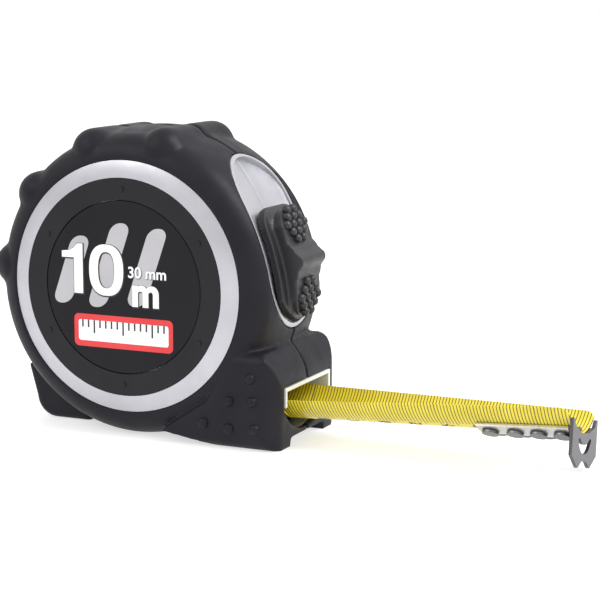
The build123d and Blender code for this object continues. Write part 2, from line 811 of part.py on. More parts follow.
# --- Brake --------------------------------------------------------------------------------------
with BuildPart() as brake_lever:
    with BuildSketch(Plane.XZ):
        with BuildLine():
            Polyline((shoe_x[0], shoe_top_z), (22, shoe_top_z), (28, 15.0), (brake_pin_x, brake_pin_z - 3),
                     (34.0, 17.0), (35.6, 30.0), (34.3, 31.0), (31.0, 22.0), (27.5, 18.5), (22, 16.0),
                     (shoe_x[0], 16.0), close=True)
        make_face()
        with Locations((brake_pin_x, brake_pin_z)):
            Circle(brake_pin_r + running_gap, mode=Mode.SUBTRACT)
    extrude(amount=lever_half, both=True)
finish(brake_lever.part, "brake_lever")

with BuildPart() as brake_shoe:
    add(box(shoe_x, shoe_half, (shoe_low_z, shoe_top_z)))
    chamfer(brake_shoe.edges().filter_by(Axis.Y).group_by(Axis.Z)[0], 0.5)
finish(brake_shoe.part, "brake_shoe")


# --- Belt clip ----------------------------------------------------------------------------------
with BuildPart() as belt_clip:
    with BuildSketch(Plane.YZ.offset(-clip_width / 2)):
        with BuildLine():
            root_y, top_z = badge_y + clip_stand + clip_wall / 2, axis_height + clip_root_z + 5
            leg_y = root_y + clip_gap + clip_wall
            low_z = top_z - clip_length
            root = Line((root_y, top_z - 12), (root_y, top_z))
            bend = ThreePointArc(root @ 1, ((root_y + leg_y) / 2, top_z + (leg_y - root_y) / 2), (leg_y, top_z))
            leg = Line(bend @ 1, (leg_y, low_z + 8))
            Polyline(leg @ 1, (leg_y - 1.2, low_z + 4), (leg_y + 1.6, low_z))
            offset(amount=clip_wall / 2, side=Side.BOTH)
        make_face()
    extrude(amount=clip_width)
    with BuildSketch(Plane.XZ.offset(-badge_y - 20)):
        with Locations((0, axis_height + clip_root_z)):
            Circle(clip_screw_r + 0.1)
    extrude(amount=20, mode=Mode.SUBTRACT)
finish(belt_clip.part, "belt_clip")

with BuildPart() as clip_screw:
    clip_face_y = badge_y + clip_stand + clip_wall
    add(cross_pin(0, axis_height + clip_root_z, clip_screw_r, badge_y - clip_screw_reach, clip_face_y))
    add(cross_pin(0, axis_height + clip_root_z, clip_screw_r + 1.6, clip_face_y, clip_face_y + 1.4))
finish(clip_screw.part, "clip_screw")
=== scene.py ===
"""Looks of the pocket tape measure, built round its CAD frame. Metres, in the CAD's own frame."""

import json
from math import ceil, cos, pi, radians, sin, sqrt

import bpy
import numpy as np
from mathutils import Matrix, Vector


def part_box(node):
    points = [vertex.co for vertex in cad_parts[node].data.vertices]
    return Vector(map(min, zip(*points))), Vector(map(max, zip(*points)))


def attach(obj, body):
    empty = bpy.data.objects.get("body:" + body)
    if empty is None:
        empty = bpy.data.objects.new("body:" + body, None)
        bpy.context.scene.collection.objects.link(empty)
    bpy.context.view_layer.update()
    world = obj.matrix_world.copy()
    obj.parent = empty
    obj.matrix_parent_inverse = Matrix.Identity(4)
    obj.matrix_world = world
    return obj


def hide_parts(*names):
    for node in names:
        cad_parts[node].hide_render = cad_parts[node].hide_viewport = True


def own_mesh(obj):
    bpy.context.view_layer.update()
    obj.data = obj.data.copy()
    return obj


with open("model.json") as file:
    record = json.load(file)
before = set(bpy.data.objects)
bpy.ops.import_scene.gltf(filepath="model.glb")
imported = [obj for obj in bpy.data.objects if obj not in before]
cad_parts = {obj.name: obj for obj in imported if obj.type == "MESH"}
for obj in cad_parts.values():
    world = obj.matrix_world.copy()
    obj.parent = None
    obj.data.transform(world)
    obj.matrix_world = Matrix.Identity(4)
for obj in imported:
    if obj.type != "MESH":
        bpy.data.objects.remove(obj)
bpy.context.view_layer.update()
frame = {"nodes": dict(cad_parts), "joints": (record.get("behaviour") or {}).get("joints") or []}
MM = 0.001

# --- Places read from the frame -------------------------------------------------------------------
JOINTS = {j["name"]: j for j in frame["joints"]}
WAY = Vector(JOINTS["tape_slide"]["axis"]).normalized()
TIP = Vector(JOINTS["hook_level"]["pos_m"])
DRUM_AXIS = Vector(JOINTS["drum_spin"]["pos_m"])
MOUTH_X = JOINTS["tape_slide"]["deforming_nodes"][0]["fixed_end_x_m"]
TAPE_LENGTH = (TIP.x - MOUTH_X) / WAY.x
BADGE_FACE_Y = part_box("near_badge")[0].y

# --- Tape: the same form as the CAD strip ---------------------------------------------------------
TAPE_WIDTH = 30.0 * MM
TAPE_WALL = 0.25 * MM
MOUTH_CURVE_R = 14.0 * MM
TIP_CURVE_R = 15.0 * MM
TIP_ROLL = radians(14.0)
TIP_CORNER = 3.0 * MM       # rounded corners at the hook end
PLATE_BACK = 0.6 * MM       # the hook is dark from this far behind the tape's end, and pale further back

# --- Grips: rubber softened over the four ridges of the back ---------------------------------------
GRIP_VOXEL = 0.55 * MM
RIDGE_R = 7.0 * MM          # the ridges' own radius, and where they lie
RIDGE_CENTRE_R = 42.3 * MM
RIDGE_HALF = 15.5 * MM
RIDGE_ANGLES = [radians(76.0 + 33.0 * k) for k in range(4)]
RIDGE_BLEND = 3.0 * MM      # how far from a ridge's foot the rubber is softened
BARREL_R = 43.5 * MM        # only the rubber outside this radius is softened there

# --- Thumb channel: its surface turns about the thumb lock's own hinge line ------------------------
SCOOP_CENTRE = Vector(JOINTS["thumb_slide"]["pos_m"])
SCOOP_R = 79.0 * MM
SLOT_ANGLE = radians(20.5)
SLOT_CENTRE_R = 44.0 * MM
SLOT_LENGTH = 55.0 * MM
SLOT_WIDTH = 31.0 * MM
RIM_PROUD = 0.1 * MM        # rubber above the channel's rim
RIM_SLOPE = 0.36            # how steeply the rubber rises from there
RIM_REACH = 7.0 * MM        # how far out it slopes
CASE_FRONT_X = 20.0 * MM    # only rubber in front of this is sloped

# --- Thumb lock: skirt, two pads and a fin between them --------------------------------------------
THUMB_VOXEL = 0.3 * MM
THUMB_HALF = 12.0 * MM
PAD_HALF = 9.0 * MM
SKIRT_LOW_R = SCOOP_R - 0.6 * MM
SKIRT_TOP_R = SCOOP_R + 2.2 * MM
SKIRT_ENDS = (9.1 * MM, -26.9 * MM)     # how far up the channel the skirt and the pads reach
PAD_ENDS = (7.2 * MM, -24.8 * MM)
THUMB_MIDDLE = -9.0 * MM
SKIRT_CORNER = 7.0 * MM
PAD_CORNER = 8.0 * MM
FIN_ROOT_R = 50.8 * MM
FIN_SHARE = 0.36            # the fin's height, as a share of the plain form's
FIN_SOFT_R = 50.6 * MM      # where the fin's softening starts, and how soon it is full
FIN_SOFT_RISE = 1.6 * MM

# --- Studs on the pads: each pad's distance from the drum axis, and angle up from +X ---------------
PADS = ((49.8 * MM, 22.8), (50.6 * MM, -2.6))
STUD_R = 1.45 * MM
STUD_STEP = 3.9 * MM
STUD_ROW_ANGLE = 2.6
STUDS_IN_MIDDLE_ROW = 4
STUD_SINK = 0.35            # angle below its equator at which a stud's foot starts

# --- Grip domes beside the front foot: x and z of each in millimetres ------------------------------
DOME_PLACES = ((42.2, 22.0), (35.2, 14.7), (42.8, 15.1), (26.8, 7.4), (35.2, 6.4), (43.6, 6.9))
DOME_R = 1.75 * MM
BLOCK_HALF = 23.35 * MM     # half the width of the mouth block, where the domes' feet lie

# --- Ruler on the label, from the drum axis --------------------------------------------------------
SCALE_X, SCALE_Z = 0.2 * MM, -13.8 * MM
SCALE_TOP_Z = -10.6 * MM
TICKS = 15
TICK_STEP = 2.0 * MM

# --- Numbers on the tape, and layers of print ------------------------------------------------------
NUMBER_SIZE = 5.4 * MM
NUMBER_PAST_LINE = 1.6 * MM
NUMBER_ACROSS = 10.2 * MM
INK_ON_TAPE = 0.03 * MM
INK_LAYER = 0.02 * MM


# --- Materials ------------------------------------------------------------------------------------
class Shader:
    """One Principled material under construction, with helpers for the nodes used below."""

    def __init__(self, name, color, roughness, metallic=0.0, **sockets):
        self.material = bpy.data.materials.new(name)
        self.material.use_nodes = True
        self.nodes = self.material.node_tree.nodes
        self.links = self.material.node_tree.links
        self.bsdf = self.nodes["Principled BSDF"]
        self.bsdf.inputs["Base Color"].default_value = (*color, 1)
        self.bsdf.inputs["Roughness"].default_value = roughness
        self.bsdf.inputs["Metallic"].default_value = metallic
        for socket, value in sockets.items():
            self.bsdf.inputs[socket.replace("_", " ")].default_value = value
        self.material.diffuse_color = (*color, 1)

    def coordinates(self, kind="Object"):
        if kind not in self.nodes:
            self.nodes.new("ShaderNodeTexCoord").name = kind
        return self.nodes[kind].outputs[kind]

    def noise(self, scale, detail=3.0, stretch=None):
        """Noise over the object's own coordinates; scale is features per metre."""
        node = self.nodes.new("ShaderNodeTexNoise")
        node.inputs["Scale"].default_value = scale
        node.inputs["Detail"].default_value = detail
        source = self.coordinates()
        if stretch:
            mapping = self.nodes.new("ShaderNodeMapping")
            mapping.inputs["Scale"].default_value = stretch
            self.links.new(source, mapping.inputs["Vector"])
            source = mapping.outputs["Vector"]
        self.links.new(source, node.inputs["Vector"])
        return node.outputs["Fac"]

    def math(self, operation, *values):
        node = self.nodes.new("ShaderNodeMath")
        node.operation = operation
        for socket, value in zip(node.inputs, values):
            if isinstance(value, (int, float)):
                socket.default_value = value
            else:
                self.links.new(value, socket)
        return node.outputs[0]

    def spread(self, source, low, high):
        """Map the middle of a noise onto low..high."""
        node = self.nodes.new("ShaderNodeMapRange")
        node.inputs["From Min"].default_value = 0.3
        node.inputs["From Max"].default_value = 0.7
        node.inputs["To Min"].default_value = low
        node.inputs["To Max"].default_value = high
        self.links.new(source, node.inputs["Value"])
        return node.outputs["Result"]

    def mix(self, share, first, second):
        """Blend two colours by a share, each a colour or a socket."""
        node = self.nodes.new("ShaderNodeMix")
        node.data_type = "RGBA"
        self.links.new(share, node.inputs["Factor"])
        for socket, value in ((node.inputs[6], first), (node.inputs[7], second)):
            if isinstance(value, tuple):
                socket.default_value = (*value, 1)
            else:
                self.links.new(value, socket)
        return node.outputs[2]

    def color(self, source):
        self.links.new(source, self.bsdf.inputs["Base Color"])

    def roughness(self, source):
        self.links.new(source, self.bsdf.inputs["Roughness"])

    def bump(self, height, strength, depth):
        node = self.nodes.new("ShaderNodeBump")
        node.inputs["Strength"].default_value = strength
        node.inputs["Distance"].default_value = depth
        self.links.new(height, node.inputs["Height"])
        self.links.new(node.outputs["Normal"], self.bsdf.inputs["Normal"])


def grained(name, dark, light, roughness, grain_scale, grain_depth, metallic=0.0, **sockets):
    """A moulded or coated surface: soft colour variation, uneven gloss and fine grain."""
    shader = Shader(name, dark, roughness, metallic, **sockets)
    patches = shader.noise(60, 4)
    shader.color(shader.mix(shader.spread(patches, 0.0, 1.0), dark, light))
    shader.roughness(shader.spread(shader.noise(220, 3), roughness - 0.05, roughness + 0.06))
    shader.bump(shader.noise(grain_scale, 2), 0.35, grain_depth)
    return shader.material


def brushed(name, dark, light, roughness, stretch):
    """Rolled or ground metal with fine lines along one way."""
    shader = Shader(name, dark, roughness, 1.0)
    lines = shader.noise(900, 4, stretch)
    shader.color(shader.mix(shader.spread(lines, 0.0, 1.0), dark, light))
    shader.roughness(shader.spread(lines, roughness - 0.06, roughness + 0.08))
    shader.bump(lines, 0.15, 0.02 * MM)
    return shader.material


def hook_steel():
    """Dark face plate and pale tongue, both with rolled lines."""
    shader = Shader("hook_steel", (0.10, 0.10, 0.11), 0.4, 0.85)
    lines = shader.noise(900, 4, (1.0, 1.0, 0.15))
    dark = shader.mix(shader.spread(lines, 0.0, 1.0), (0.085, 0.085, 0.09), (0.13, 0.13, 0.14))
    pale = shader.mix(shader.spread(lines, 0.0, 1.0), (0.55, 0.54, 0.51), (0.68, 0.67, 0.64))
    split = shader.nodes.new("ShaderNodeSeparateXYZ")
    shader.links.new(shader.coordinates(), split.inputs[0])
    along = shader.math("ADD", split.outputs["X"], shader.math("MULTIPLY", split.outputs["Y"], WAY.y))
    shader.color(shader.mix(shader.math("GREATER_THAN", along, TIP.x - PLATE_BACK), pale, dark))
    shader.roughness(shader.spread(lines, 0.3, 0.42))
    shader.bump(lines, 0.15, 0.02 * MM)
    return shader.material


def tape_print(name, tick, tick_five, tick_ten, source="UV"):
    """Yellow coating with millimetre lines. The UV map holds millimetres: back from the end, and across.

    The stretch inside the case has no such map. Its lines run right across, at each millimetre of X.
    """
    shader = Shader(name, (0.78, 0.62, 0.02), 0.38, 0.0, Coat_Weight=0.25, Coat_Roughness=0.2)
    split = shader.nodes.new("ShaderNodeSeparateXYZ")
    shader.links.new(shader.coordinates(source), split.inputs[0])
    back, across = split.outputs["X"], split.outputs["Y"]
    if source == "Object":
        back = shader.math("MULTIPLY", back, 1 / MM)
    from_edge = shader.math("PINGPONG", across, TAPE_WIDTH / MM / 2)
    printed = 0.0
    for step, half_line, reach in ((1.0, 0.13, tick), (5.0, 0.14, tick_five), (10.0, 0.15, tick_ten)):
        near_line = shader.math("LESS_THAN", shader.math("PINGPONG", back, step / 2), half_line)
        on_reach = shader.math("LESS_THAN", from_edge, reach)
        printed = shader.math("MAXIMUM", printed, shader.math("MULTIPLY", near_line, on_reach))
    patches = shader.spread(shader.noise(150, 3), 0.0, 1.0)
    yellow = shader.mix(patches, (0.66, 0.53, 0.016), (0.75, 0.62, 0.03))
    shader.color(shader.mix(printed, yellow, (0.06, 0.045, 0.01)))
    shader.roughness(shader.spread(shader.noise(500, 2), 0.32, 0.44))
    shader.bump(shader.noise(2500, 2), 0.2, 0.02 * MM)
    return shader.material


MATERIALS = {
    "rubber": grained("rubber", (0.0078, 0.0070, 0.0108), (0.0115, 0.0105, 0.0150), 0.46,
                      3200, 0.05 * MM, Specular_IOR_Level=0.18),
    "silver": grained("silver", (0.43, 0.43, 0.46), (0.51, 0.51, 0.545), 0.34, 4500, 0.01 * MM, 0.7),
    "black_satin": grained("black_satin", (0.0075, 0.007, 0.0095), (0.011, 0.0105, 0.0135), 0.42,
                           2600, 0.02 * MM, Specular_IOR_Level=0.24),
    "black_print": grained("black_print", (0.005, 0.0045, 0.0065), (0.0075, 0.007, 0.009), 0.33,
                           2000, 0.01 * MM, Specular_IOR_Level=0.19),
    "black_rubbery": grained("black_rubbery", (0.0085, 0.0085, 0.011), (0.014, 0.0135, 0.017), 0.44,
                             3600, 0.05 * MM, Specular_IOR_Level=0.5),
    "nylon": grained("nylon", (0.035, 0.035, 0.04), (0.05, 0.05, 0.055), 0.5, 2200, 0.03 * MM),
    "trim": grained("trim", (0.66, 0.66, 0.62), (0.76, 0.76, 0.72), 0.4, 2500, 0.01 * MM, 0.2),
    "steel": brushed("steel", (0.42, 0.42, 0.44), (0.55, 0.55, 0.57), 0.3, (0.1, 1.0, 1.0)),
    "rivet": brushed("rivet", (0.14, 0.14, 0.15), (0.22, 0.22, 0.23), 0.32, (1.0, 1.0, 1.0)),
    "hook": hook_steel(),
    "coil": grained("coil", (0.70, 0.56, 0.02), (0.80, 0.66, 0.03), 0.4, 2500, 0.02 * MM),
    "print_under": tape_print("print_under", 8.4, 9.8, 12.2),
    "print_top": tape_print("print_top", 12.5, 13.5, 14.5),
    "print_inside": tape_print("print_inside", 16.0, 16.0, 16.0, "Object"),
    "ink_white": grained("ink_white", (0.80, 0.80, 0.80), (0.88, 0.88, 0.88), 0.4, 2500, 0.01 * MM),
    "ink_grey": grained("ink_grey", (0.40, 0.39, 0.41), (0.46, 0.45, 0.47), 0.4, 2500, 0.01 * MM),
    "ink_red": grained("ink_red", (0.62, 0.025, 0.03), (0.72, 0.04, 0.045), 0.38, 2500, 0.01 * MM),
    "ink_black": grained("ink_black", (0.012, 0.011, 0.008), (0.02, 0.018, 0.012), 0.45, 2500, 0.01 * MM),
}

CAD_FINISH = {
    "near_shell": "silver", "far_shell": "silver", "mouth_trim": "trim",
    "near_grip": "rubber", "far_grip": "rubber",
    "near_inlay": "black_satin", "far_inlay": "black_satin", "near_badge": "black_print",
    "far_badge": "black_print", "thumb_lock": "black_rubbery", "tape_guides": "nylon",
    "brake_lever": "nylon", "brake_shoe": "rubber", "case_screws": "steel", "spindle": "steel",
    "brake_pin": "steel", "drum_hub": "nylon", "near_flange": "nylon", "far_flange": "nylon",
    "return_spring": "steel", "tape_coil": "coil", "tape_feed": "print_inside", "blade": "print_under",
    "end_hook": "hook", "hook_rivets": "rivet", "belt_clip": "steel", "clip_screw": "steel",
}
# Width of the broken edges, in millimetres
BEVELLED = {"mouth_trim": 0.25, "end_hook": 0.18, "hook_rivets": 0.3, "belt_clip": 0.2, "clip_screw": 0.3,
            "case_screws": 0.25, "near_badge": 0.1, "near_inlay": 0.2, "far_inlay": 0.2, "near_shell": 0.2,
            "far_shell": 0.2}


def finish_cad_nodes():
    """Materials for every CAD node, and softly broken edges on those that show."""
    for name, node in frame["nodes"].items():
        node.data.materials.clear()
        node.data.materials.append(MATERIALS[CAD_FINISH[name]])
        if name in BEVELLED:
            weld = node.modifiers.new("weld", "WELD")
            weld.merge_threshold = 0.005 * MM
            bevel = node.modifiers.new("bevel", "BEVEL")
            bevel.width = BEVELLED[name] * MM
            bevel.segments = 3
            bevel.limit_method = "ANGLE"
            bevel.angle_limit = radians(38)
            bevel.harden_normals = False


# --- Pieces ---------------------------------------------------------------------------------------
def new_piece(name, mesh, material, body):
    """Link a finished mesh as a piece riding on a CAD body."""
    piece = bpy.data.objects.new(name, mesh)
    bpy.context.scene.collection.objects.link(piece)
    if material:
        mesh.materials.clear()
        mesh.materials.append(MATERIALS[material])
    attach(piece, body)
    return piece


def evaluated_mesh(source, name):
    """The mesh of an object with its modifiers applied."""
    graph = bpy.context.evaluated_depsgraph_get()
    mesh = bpy.data.meshes.new_from_object(source.evaluated_get(graph))
    mesh.name = name
    return mesh


def smooth_shaded(mesh, angle=None):
    mesh.polygons.foreach_set("use_smooth", [True] * len(mesh.polygons))
    if angle:
        mesh.set_sharp_from_angle(angle=angle)
    mesh.update()


def coordinates_of(mesh):
    points = np.empty(len(mesh.vertices) * 3)
    mesh.vertices.foreach_get("co", points)
    return points.reshape(-1, 3)


def moulded(node_name, voxel, rounds, soft_share, soft_rounds, shape=None):
    """Remesh a CAD node evenly and soften it; soft_share(points) says where it is blended widely.

    shape(points) may move the even mesh's points before it is softened.
    """
    source = bpy.data.objects.new("source", frame["nodes"][node_name].data.copy())
    bpy.context.scene.collection.objects.link(source)
    source.modifiers.new("weld", "WELD").merge_threshold = 0.005 * MM
    remesh = source.modifiers.new("remesh", "REMESH")
    remesh.mode = "VOXEL"
    remesh.voxel_size = voxel
    bpy.context.view_layer.update()
    source.data = evaluated_mesh(source, node_name + "_even")
    source.modifiers.clear()
    if shape:
        moved = shape(coordinates_of(source.data))
        source.data.vertices.foreach_set("co", moved.ravel())
    share = np.clip(soft_share(coordinates_of(source.data)), 0, 1)
    group = source.vertex_groups.new(name="soft")
    for step in range(1, 11):
        chosen = np.nonzero(np.ceil(share * 10) == step)[0]
        if len(chosen):
            group.add(chosen.tolist(), step / 10, "REPLACE")
    for group_name, iterations in (("", rounds), ("soft", soft_rounds)):
        smooth = source.modifiers.new("smooth", "SMOOTH")
        smooth.factor = 0.5
        smooth.iterations = iterations
        smooth.vertex_group = group_name
    bpy.context.view_layer.update()
    mesh = evaluated_mesh(source, node_name + "_moulded")
    bpy.data.objects.remove(source)
    smooth_shaded(mesh)
    return mesh


def ridge_feet(points):
    """1 along the line where a ridge meets the barrel, falling to 0 some millimetres away."""
    share = np.zeros(len(points))
    reach = np.hypot(points[:, 0], points[:, 2] - DRUM_AXIS.z)
    for angle in RIDGE_ANGLES:
        x, z = RIDGE_CENTRE_R * cos(angle), DRUM_AXIS.z + RIDGE_CENTRE_R * sin(angle)
        past = np.maximum(np.abs(points[:, 1]) - RIDGE_HALF, 0)
        away = np.sqrt((points[:, 0] - x) ** 2 + (points[:, 2] - z) ** 2 + past ** 2)
        near_foot = 1.2 - np.abs(away - RIDGE_R) / RIDGE_BLEND
        share = np.maximum(share, np.where(reach > BARREL_R, near_foot, 0))
    return share


def along_slot(points):
    """How far up the channel each point lies, from the channel's middle."""
    middle = DRUM_AXIS + Vector((cos(SLOT_ANGLE), 0, sin(SLOT_ANGLE))) * SLOT_CENTRE_R
    return (points[:, 0] - middle.x) * -sin(SLOT_ANGLE) + (points[:, 2] - middle.z) * cos(SLOT_ANGLE)


def from_scoop(points):
    return np.hypot(points[:, 0] - SCOOP_CENTRE.x, points[:, 2] - SCOOP_CENTRE.z)


def slope_to_channel(points):
    """Bring the rubber down to the channel's rim, on a slope all round it."""
    up = np.maximum(np.abs(along_slot(points)) - (SLOT_LENGTH - SLOT_WIDTH) / 2, 0)
    outside = np.hypot(up, points[:, 1]) - SLOT_WIDTH / 2
    allowed = SCOOP_R + RIM_PROUD + RIM_SLOPE * np.maximum(outside, 0)
    level = from_scoop(points)
    chosen = (points[:, 0] > CASE_FRONT_X) & (outside < RIM_REACH) & (level > allowed)
    factor = np.where(chosen, allowed / level, 1.0)
    points[:, 0] = SCOOP_CENTRE.x + (points[:, 0] - SCOOP_CENTRE.x) * factor
    points[:, 2] = SCOOP_CENTRE.z + (points[:, 2] - SCOOP_CENTRE.z) * factor
    return points


def make_grips():
    data = ([], [])
    for side in ("near", "far"):
        mesh = moulded(side + "_grip", GRIP_VOXEL, 3, ridge_feet, 30, slope_to_channel)
        piece = new_piece(side + "_rubber_grip", mesh, "rubber", "case")
        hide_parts(side + "_grip")
        out = Vector((0, -1 if side == "near" else 1, 0))
        for x, z in DOME_PLACES:
            half_ball(data, Vector((x * MM, out.y * BLOCK_HALF, z * MM)), out, DOME_R)
    domes = bpy.data.meshes.new("domes")
    domes.from_pydata(data[0], [], data[1])
    smooth_shaded(domes)
    new_piece("grip_domes", domes, "rubber", "case")


def thumb_fin(points):
    """1 on the finger fin, which is well rounded, and 0 elsewhere."""
    reach = np.hypot(points[:, 0], points[:, 2] - DRUM_AXIS.z)
    return (reach - FIN_SOFT_R) / FIN_SOFT_RISE


def half_ball(mesh_data, centre, out, r):
    """Add a round stud to (points, faces): rings from its foot to its top."""
    points, faces = mesh_data
    side = Vector((0, 1, 0)) if abs(out.y) < 0.5 else Vector((1, 0, 0))
    other = out.cross(side)
    rings, around = 5, 14
    first = len(points)
    for i in range(rings):
        lift = pi / 2 * (i / rings) - STUD_SINK
        for k in range(around):
            turn = 2 * pi * k / around
            flat = (side * cos(turn) + other * sin(turn)) * (r * cos(max(lift, 0)))
            points.append(centre + flat + out * (r * sin(lift)))
    points.append(centre + out * (r * sin(pi / 2 * 0.93)))
    for i in range(rings - 1):
        for k in range(around):
            a, b = first + i * around + k, first + i * around + (k + 1) % around
            faces.append((a, b, b + around, a + around))
    top = first + (rings - 1) * around
    faces += [(top + k, top + (k + 1) % around, len(points) - 1) for k in range(around)]


def round_corners(points, chosen, half_width, end, corner):
    """Round the chosen points' corners in plan, at one end of the thumb lock."""
    up = along_slot(points)
    past = (up - end) * np.sign(end - THUMB_MIDDLE) + corner
    beside = np.abs(points[:, 1]) - (half_width - corner)
    reach = np.maximum(np.hypot(past, beside), 1e-9)
    factor = np.where(chosen & (past > 0) & (beside > 0) & (reach > corner), corner / reach, 1.0)
    points[:, 1] += np.sign(points[:, 1]) * beside * (factor - 1)
    shift = past * (factor - 1) * np.sign(end - THUMB_MIDDLE)
    points[:, 0] += shift * -sin(SLOT_ANGLE)
    points[:, 2] += shift * cos(SLOT_ANGLE)


def round_thumb_lock(points):
    """Round corners in plan for the skirt and the pads, and a short blunt fin."""
    level = from_scoop(points)
    on_skirt = (level > SKIRT_LOW_R) & (level < SKIRT_TOP_R)
    for end in SKIRT_ENDS:
        round_corners(points, on_skirt, THUMB_HALF, end, SKIRT_CORNER)
    for end in PAD_ENDS:
        round_corners(points, level > SKIRT_TOP_R, PAD_HALF, end, PAD_CORNER)
    reach = np.hypot(points[:, 0], points[:, 2] - DRUM_AXIS.z)
    squat = np.where(reach > FIN_ROOT_R, (FIN_ROOT_R + (reach - FIN_ROOT_R) * FIN_SHARE) / reach, 1.0)
    points[:, 0] *= squat
    points[:, 2] = DRUM_AXIS.z + (points[:, 2] - DRUM_AXIS.z) * squat
    return points


def make_thumb_lock():
    mesh = moulded("thumb_lock", THUMB_VOXEL, 4, thumb_fin, 10, round_thumb_lock)
    piece = new_piece("thumb_lock_skin", mesh, "black_rubbery", "thumb_lock")
    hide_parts("thumb_lock")
    data = ([], [])
    for pad_r, middle in PADS:
        for row in range(-2, 3):
            angle = radians(middle + row * STUD_ROW_ANGLE)
            out = Vector((cos(angle), 0, sin(angle)))
            count = STUDS_IN_MIDDLE_ROW - abs(row)
            for column in range(count):
                y = (column - (count - 1) / 2) * STUD_STEP
                half_ball(data, DRUM_AXIS + out * pad_r + Vector((0, y, 0)), out, STUD_R)
    studs = bpy.data.meshes.new("studs")
    studs.from_pydata(data[0], [], data[1])
    smooth_shaded(studs)
    new_piece("thumb_lock_studs", studs, "black_rubbery", "thumb_lock")


# --- Tape -----------------------------------------------------------------------------------------
def tape_point(back, across, depth):
    """Point on the drawn tape: back from its end, across from its near edge, below its top face."""
    share = 1 - back / TAPE_LENGTH
    curve_r = 1 / ((1 - share) / MOUTH_CURVE_R + share / TIP_CURVE_R)
    level = Vector((-WAY.y, WAY.x, 0)).normalized()
    side = Matrix.Rotation(-TIP_ROLL * share, 3, WAY) @ level
    up = WAY.cross(side)
    edge = TAPE_WIDTH / 2 / curve_r
    angle = (across - TAPE_WIDTH / 2) / curve_r
    r = curve_r + depth
    return TIP - WAY * back + side * (r * sin(angle)) + up * (curve_r * cos(edge) - r * cos(angle))


def tape_inset(back):
    """How far the rounded end corners cut into each edge."""
    if back >= TIP_CORNER:
        return 0.0
    return TIP_CORNER - sqrt(max(0.0, TIP_CORNER ** 2 - (TIP_CORNER - back) ** 2))


def tape_mesh():
    """Printed strip as a closed sheet: top, underside and edges, with millimetres as its UV map."""
    columns = 28
    backs = [TIP_CORNER * (1 - cos(k / 8 * pi / 2)) for k in range(9)]
    rows_left = ceil((TAPE_LENGTH - TIP_CORNER) / (1.2 * MM))
    backs += [TIP_CORNER + (TAPE_LENGTH - TIP_CORNER) * k / rows_left for k in range(1, rows_left + 1)]
    points, marks = [], []
    for depth in (0.0, TAPE_WALL):
        for back in backs:
            inset = tape_inset(back)
            for k in range(columns + 1):
                across = inset + (TAPE_WIDTH - 2 * inset) * k / columns
                points.append(tape_point(back, across, depth))
                marks.append((back / MM, across / MM))
    rows, line = len(backs), columns + 1
    layer = rows * line
    faces, slots = [], []
    for i in range(rows - 1):
        for k in range(columns):
            a = i * line + k
            faces.append((a, a + line, a + line + 1, a + 1))
            faces.append((layer + a, layer + a + 1, layer + a + line + 1, layer + a + line))
            slots += [1, 0]
    rim = list(range(columns)) + [i * line + columns for i in range(rows - 1)]
    rim += [(rows - 1) * line + k for k in range(columns, 0, -1)]
    rim += [i * line for i in range(rows - 1, 0, -1)]
    for a, b in zip(rim, rim[1:] + rim[:1]):
        faces.append((a, b, layer + b, layer + a))
        slots.append(0)
    mesh = bpy.data.meshes.new("tape_strip")
    mesh.from_pydata(points, [], faces)
    mesh.polygons.foreach_set("material_index", slots)
    uv = mesh.uv_layers.new(name="millimetres")
    for loop in mesh.loops:
        uv.data[loop.index].uv = marks[loop.vertex_index]
    smooth_shaded(mesh, radians(40))
    return mesh


def squash_to_mouth(piece):
    """Give the piece its own copy of its mesh."""
    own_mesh(piece)


def text_mesh(text, size, bold):
    """Flat outline of generic lettering, centred, in the XY plane."""
    curve = bpy.data.curves.new("lettering", "FONT")
    curve.body = text
    curve.size = size
    curve.offset = bold * size
    curve.align_x = "CENTER"
    curve.align_y = "CENTER"
    curve.resolution_u = 8
    holder = bpy.data.objects.new("lettering", curve)
    bpy.context.scene.collection.objects.link(holder)
    bpy.context.view_layer.update()
    mesh = evaluated_mesh(holder, "lettering")
    bpy.data.objects.remove(holder)
    return mesh


def make_tape():
    strip = new_piece("printed_tape", tape_mesh(), None, "tape")
    strip.data.materials.append(MATERIALS["print_under"])
    strip.data.materials.append(MATERIALS["print_top"])
    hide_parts("blade")
    squash_to_mouth(strip)
    # Centimetre numbers on the underside, lying sideways below the lines
    for number in range(1, 9):
        mesh = text_mesh(str(number), NUMBER_SIZE, 0.02)
        for vertex in mesh.vertices:
            back = number * 10 * MM - NUMBER_PAST_LINE + vertex.co.y
            across = NUMBER_ACROSS + vertex.co.x
            vertex.co = tape_point(back, across, TAPE_WALL + INK_ON_TAPE)
        smooth_shaded(mesh)
        piece = new_piece(f"tape_number_{number}", mesh, "ink_black", "tape")
        squash_to_mouth(piece)


# --- Label on the near badge ----------------------------------------------------------------------
def on_badge(name, outline_mesh, x, z, layer, material):
    """Print a flat outline on the badge, its centre at (x, z) from the drum axis, some layers up."""
    for vertex in outline_mesh.vertices:
        place = vertex.co.copy()
        vertex.co = (DRUM_AXIS.x + x + place.x, BADGE_FACE_Y - INK_LAYER * layer, DRUM_AXIS.z + z + place.y)
    return new_piece(name, outline_mesh, material, "case")


def outline(points):
    """One flat face through these points in the XY plane."""
    mesh = bpy.data.meshes.new("outline")
    mesh.from_pydata([(x, y, 0) for x, y in points], [], [tuple(range(len(points)))])
    return mesh


